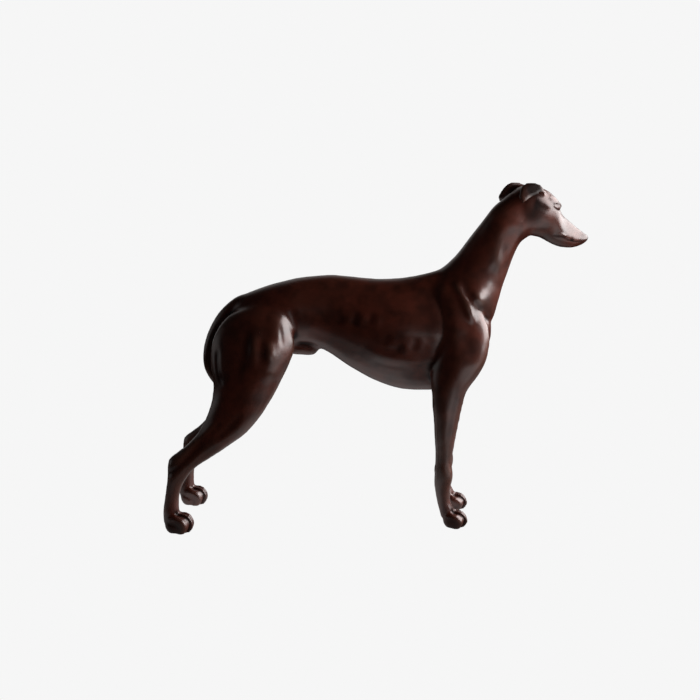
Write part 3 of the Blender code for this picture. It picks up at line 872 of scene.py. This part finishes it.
class GREYHOUND_OT_dog(Operator):
    """Model the dog as one bronze casting, with its relief and its patina."""

    bl_idname = "greyhound.dog"
    bl_label = "Cast the dog"

    def execute(self, context):
        sizes = context.scene.dog_sizes
        unit = sizes.withers / UNITS_AT_WITHERS
        dog = build_masses()
        union = dog.modifiers.new("union", "REMESH")
        union.mode = "VOXEL"
        union.voxel_size = sizes.voxel
        settle(dog)
        relax(dog.data, round(PASSES * (SMOOTH_GRID / sizes.voxel) ** 2))
        refine(dog.data, FINE)
        relax(dog.data, FINE_PASSES)
        carver = Carver(dog, sizes.relief)
        for draw in (neck_relief, shoulder_relief, body_relief, thigh_relief, paw_relief,
                     head_relief):
            draw(carver)
        carver.finish()
        relax(dog.data, LAST_PASSES)
        keep_hollows(dog.data)
        pose(dog.data, sizes)
        shift = cad_shift(read_points(dog.data), unit)
        stand(dog, (*shift, 0.0), unit)
        dog.data.materials.append(patina_material(context.scene.patina_look))
        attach(dog, "root")
        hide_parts("greyhound")
        return {"FINISHED"}


class Nodes:
    """Adds and wires the nodes of one tree."""

    def __init__(self, tree):
        self.tree = tree

    def add(self, kind, inputs=None, **settings):
        """One node, with each input linked to a socket or set to a value."""
        node = self.tree.nodes.new(kind)
        for name, value in settings.items():
            setattr(node, name, value)
        for name, value in (inputs or {}).items():
            if isinstance(value, bpy.types.NodeSocket):
                self.tree.links.new(value, node.inputs[name])
            else:
                node.inputs[name].default_value = value
        return node


def patina_group():
    """Colour, coat and grain of a waxed brown patina, from a place on the dog."""
    group = bpy.data.node_groups.new("brown_patina", "ShaderNodeTree")
    for name, kind in (("Place", "Vector"), ("Deep", "Color"), ("Body", "Color"), ("Red", "Color"),
                       ("Worn", "Color"), ("Hollow", "Float"), ("Proud", "Float")):
        group.interface.new_socket(name=name, in_out="INPUT", socket_type="NodeSocket" + kind)
    for name, kind in (("Colour", "Color"), ("Coat Weight", "Float"), ("Grain", "Float")):
        group.interface.new_socket(name=name, in_out="OUTPUT", socket_type="NodeSocket" + kind)
    n = Nodes(group)
    given = n.add("NodeGroupInput").outputs
    clouds = n.add("ShaderNodeTexNoise", {"Vector": given["Place"], "Scale": 8.0, "Detail": 4.0,
                                          "Roughness": 0.6}).outputs["Fac"]
    patches = n.add("ShaderNodeTexNoise", {"Vector": given["Place"], "Scale": 26.0, "Detail": 1.5,
                                           "Roughness": 0.45}).outputs["Fac"]
    grain = n.add("ShaderNodeTexNoise", {"Vector": given["Place"], "Scale": 150.0, "Detail": 4.0,
                                         "Roughness": 0.65}).outputs["Fac"]
    warm = ramp(n, clouds, 0.38, 0.66)
    dark = ramp(n, patches, 0.62, 0.28, top=0.45)
    colour = mix_colours(n, warm, given["Body"], given["Red"])
    colour = mix_colours(n, dark, colour, given["Deep"])
    colour = mix_colours(n, given["Proud"], colour, given["Worn"])
    # Deep brown over the hollows and the places drawn dark: patina, and painted shade.
    colour = mix_colours(n, given["Hollow"], colour, given["Deep"])
    out = n.add("NodeGroupOutput")
    n.tree.links.new(colour, out.inputs["Colour"])
    n.tree.links.new(ramp(n, given["Hollow"], 0.0, 1.0, 0.45, 0.06), out.inputs["Coat Weight"])
    n.tree.links.new(grain, out.inputs["Grain"])
    return group


def ramp(n, value, start, end, bottom=0.0, top=1.0):
    """A smooth change from bottom to top as the value goes from start to end."""
    node = n.add("ShaderNodeMapRange", {"Value": value, "From Min": start, "From Max": end,
                                        "To Min": bottom, "To Max": top},
                 interpolation_type="SMOOTHSTEP")
    return node.outputs["Result"]


def mix_colours(n, factor, one, two):
    """One colour over another by a factor."""
    node = n.add("ShaderNodeMix", data_type="RGBA")
    sockets = [s for s in node.inputs if s.enabled]
    for socket, value in zip(sockets, (factor, one, two)):
        n.tree.links.new(value, socket)
    return next(s for s in node.outputs if s.enabled)


def combine(n, operation, one, two):
    """One value from two."""
    return n.add("ShaderNodeMath", {0: one, 1: two}, operation=operation).outputs["Value"]


def show_plain(n, lit, plain, kind):
    """The camera sees the plain shader, and the bronze the lit one."""
    seen = n.add("ShaderNodeLightPath").outputs["Is Camera Ray"]
    both = n.add("ShaderNodeMixShader", {"Fac": seen, 1: lit.outputs[0], 2: plain.outputs[0]})
    n.add(kind, {"Surface": both.outputs[0]})


def patina_material(look):
    """Bronze under a brown patina and a coat of wax."""
    material = bpy.data.materials.new("patinated_bronze")
    material.use_nodes = True
    n = Nodes(material.node_tree)
    shader = material.node_tree.nodes["Principled BSDF"]
    place = n.add("ShaderNodeTexCoord").outputs["Object"]
    hollow = n.add("ShaderNodeAttribute", attribute_name="hollow").outputs["Fac"]
    stain = n.add("ShaderNodeAttribute", attribute_name="stain").outputs["Fac"]
    # Where the deep patina shows: in the skin's hollows, and where the relief is drawn dark, which is
    # partly patina in its lines and partly painted shade.
    sunk = combine(n, "MAXIMUM", ramp(n, hollow, *HOLLOW_DEPTH), stain)
    patina = n.add("ShaderNodeGroup", node_tree=patina_group())
    proud = ramp(n, hollow, *EDGE_DEPTH, 0.0, WORN_SHARE)
    for name, value in (("Place", place), ("Hollow", sunk), ("Proud", proud)):
        n.tree.links.new(value, patina.inputs[name])
    for name in ("Deep", "Body", "Red", "Worn"):
        patina.inputs[name].default_value = (*getattr(look, name.lower()), 1.0)
    bump = n.add("ShaderNodeBump", {"Height": patina.outputs["Grain"], "Strength": 0.35,
                                    "Distance": 0.0006})
    n.tree.links.new(patina.outputs["Colour"], shader.inputs["Base Color"])
    n.tree.links.new(patina.outputs["Coat Weight"], shader.inputs["Coat Weight"])
    n.tree.links.new(bump.outputs["Normal"], shader.inputs["Normal"])
    shader.inputs["Metallic"].default_value = 0.35
    shader.inputs["Roughness"].default_value = 0.5
    shader.inputs["Coat Roughness"].default_value = 0.25
    shader.inputs["Specular IOR Level"].default_value = 0.1
    shader.inputs["Coat IOR"].default_value = 2.4
    return material


class GREYHOUND_OT_studio(Operator):
    """Build the plain floor, the soft lights and the camera."""

    bl_idname = "greyhound.studio"
    bl_label = "Set the studio"

    def execute(self, context):
        scene = context.scene
        look = scene.studio_look
        scene.view_settings.view_transform = "Standard"
        scene.view_settings.look = "None"
        studio_floor(look)
        studio_world(look)
        add_light("window_light", WINDOW_PLACE, WINDOW_AIM, WINDOW_SIZE, look.window)
        camera = bpy.data.cameras.new("camera")
        camera.lens = look.lens
        camera.sensor_width = SENSOR_WIDTH
        camera.clip_end = CLIP_END
        held = bpy.data.objects.new("camera", camera)
        scene.collection.objects.link(held)
        held.location = CAMERA_PLACE
        aim = Vector(CAMERA_AIM) - held.location
        held.rotation_euler = aim.to_track_quat("-Z", "Y").to_euler()
        scene.camera = held
        return {"FINISHED"}


def add_light(name, place, aim, size, power):
    """A soft rectangular light that the camera doesn't see."""
    light = bpy.data.lights.new(name, "AREA")
    light.shape = "RECTANGLE"
    light.size, light.size_y = size
    light.energy = power
    held = bpy.data.objects.new(name, light)
    bpy.context.scene.collection.objects.link(held)
    held.location = place
    held.rotation_euler = (Vector(aim) - Vector(place)).to_track_quat("-Z", "Y").to_euler()
    held.visible_camera = False


def studio_floor(look):
    """A wide round floor that throws light up from under and before the dog."""
    bm = bmesh.new()
    bmesh.ops.create_circle(bm, cap_ends=True, segments=96, radius=FLOOR_RADIUS)
    mesh = bpy.data.meshes.new("floor")
    bm.to_mesh(mesh)
    bm.free()
    floor = bpy.data.objects.new("floor", mesh)
    bpy.context.scene.collection.objects.link(floor)
    material = bpy.data.materials.new("pale_floor")
    material.use_nodes = True
    material.node_tree.nodes.clear()
    n = Nodes(material.node_tree)
    place = n.add("ShaderNodeTexCoord").outputs["Object"]
    scaled = n.add("ShaderNodeVectorMath", {0: place, 1: PATCH_SCALE}, operation="MULTIPLY")
    gap = n.add("ShaderNodeVectorMath", {0: scaled.outputs["Vector"]}, operation="LENGTH")
    bounce = ramp(n, gap.outputs["Value"], *PATCH_FADE, look.bounce, 0.0)
    for paw_place, reach in PAW_SHADES:
        gap = n.add("ShaderNodeVectorMath", {0: place, 1: paw_place}, operation="DISTANCE")
        shade = ramp(n, gap.outputs["Value"], SHADE_CORE, reach, SHADE_LIGHT, 1.0)
        bounce = combine(n, "MULTIPLY", bounce, shade)
    along, aside = n.add("ShaderNodeSeparateXYZ", {"Vector": place}).outputs[:2]
    front = ramp(n, along, *FRONT_IN, 0.0, FRONT_BOUNCE)
    front = combine(n, "MULTIPLY", front, ramp(n, aside, *FRONT_ASIDE))
    front = combine(n, "MULTIPLY", front, ramp(n, along, *FRONT_OUT))
    lit = n.add("ShaderNodeEmission", {"Color": (1.0, 1.0, 1.0, 1.0),
                                       "Strength": combine(n, "ADD", bounce, front)})
    plain = n.add("ShaderNodeEmission", {"Color": (look.floor, look.floor, look.floor, 1.0)})
    show_plain(n, lit, plain, "ShaderNodeOutputMaterial")
    mesh.materials.append(material)
    return floor


def studio_world(look):
    """A dark room, pale on the far side and at the dog's front, and a little at its rear."""
    world = bpy.data.worlds.new("studio")
    bpy.context.scene.world = world
    world.use_nodes = True
    world.node_tree.nodes.clear()
    n = Nodes(world.node_tree)
    way = n.add("ShaderNodeTexCoord").outputs["Generated"]
    parts = n.add("ShaderNodeSeparateXYZ", {"Vector": way}).outputs
    light = ramp(n, parts["Y"], *FAR_LIGHT)
    light = combine(n, "ADD", light, ramp(n, parts["X"], *REAR_LIGHT))
    light = combine(n, "ADD", light, ramp(n, parts["X"], *FRONT_LIGHT))
    room = n.add("ShaderNodeBackground", {"Color": (1.0, 1.0, 1.0, 1.0), "Strength": light})
    plain = n.add("ShaderNodeBackground", {"Color": (look.floor, look.floor, look.floor, 1.0)})
    show_plain(n, room, plain, "ShaderNodeOutputWorld")


class GREYHOUND_PT_panel(Panel):
    """Shows the settings, and a button each to cast the dog and set the studio."""

    bl_idname = "GREYHOUND_PT_panel"
    bl_label = "Greyhound"
    bl_space_type = "VIEW_3D"
    bl_region_type = "UI"
    bl_category = "Greyhound"

    def draw(self, context):
        for group, operator in (("dog_sizes", GREYHOUND_OT_dog), ("patina_look", None),
                                ("studio_look", GREYHOUND_OT_studio)):
            box = self.layout.box()
            look = getattr(context.scene, group)
            for name in look.bl_rna.properties.keys():
                if name not in ("rna_type", "name"):
                    box.prop(look, name)
            if operator:
                box.operator(operator.bl_idname)


CLASSES = (DogSizes, PatinaLook, StudioLook, GREYHOUND_OT_dog, GREYHOUND_OT_studio,
           GREYHOUND_PT_panel)


def register():
    """Makes the classes and their settings known to Blender."""
    for made in CLASSES:
        bpy.utils.register_class(made)
    bpy.types.Scene.dog_sizes = PointerProperty(type=DogSizes)
    bpy.types.Scene.patina_look = PointerProperty(type=PatinaLook)
    bpy.types.Scene.studio_look = PointerProperty(type=StudioLook)


def unregister():
    """Takes them away again."""
    del bpy.types.Scene.studio_look
    del bpy.types.Scene.patina_look
    del bpy.types.Scene.dog_sizes
    for made in reversed(CLASSES):
        bpy.utils.unregister_class(made)


def main():
    """Builds the dog and the studio."""
    register()
    bpy.ops.greyhound.dog()
    bpy.ops.greyhound.studio()


if __name__ == "__main__":
    main()
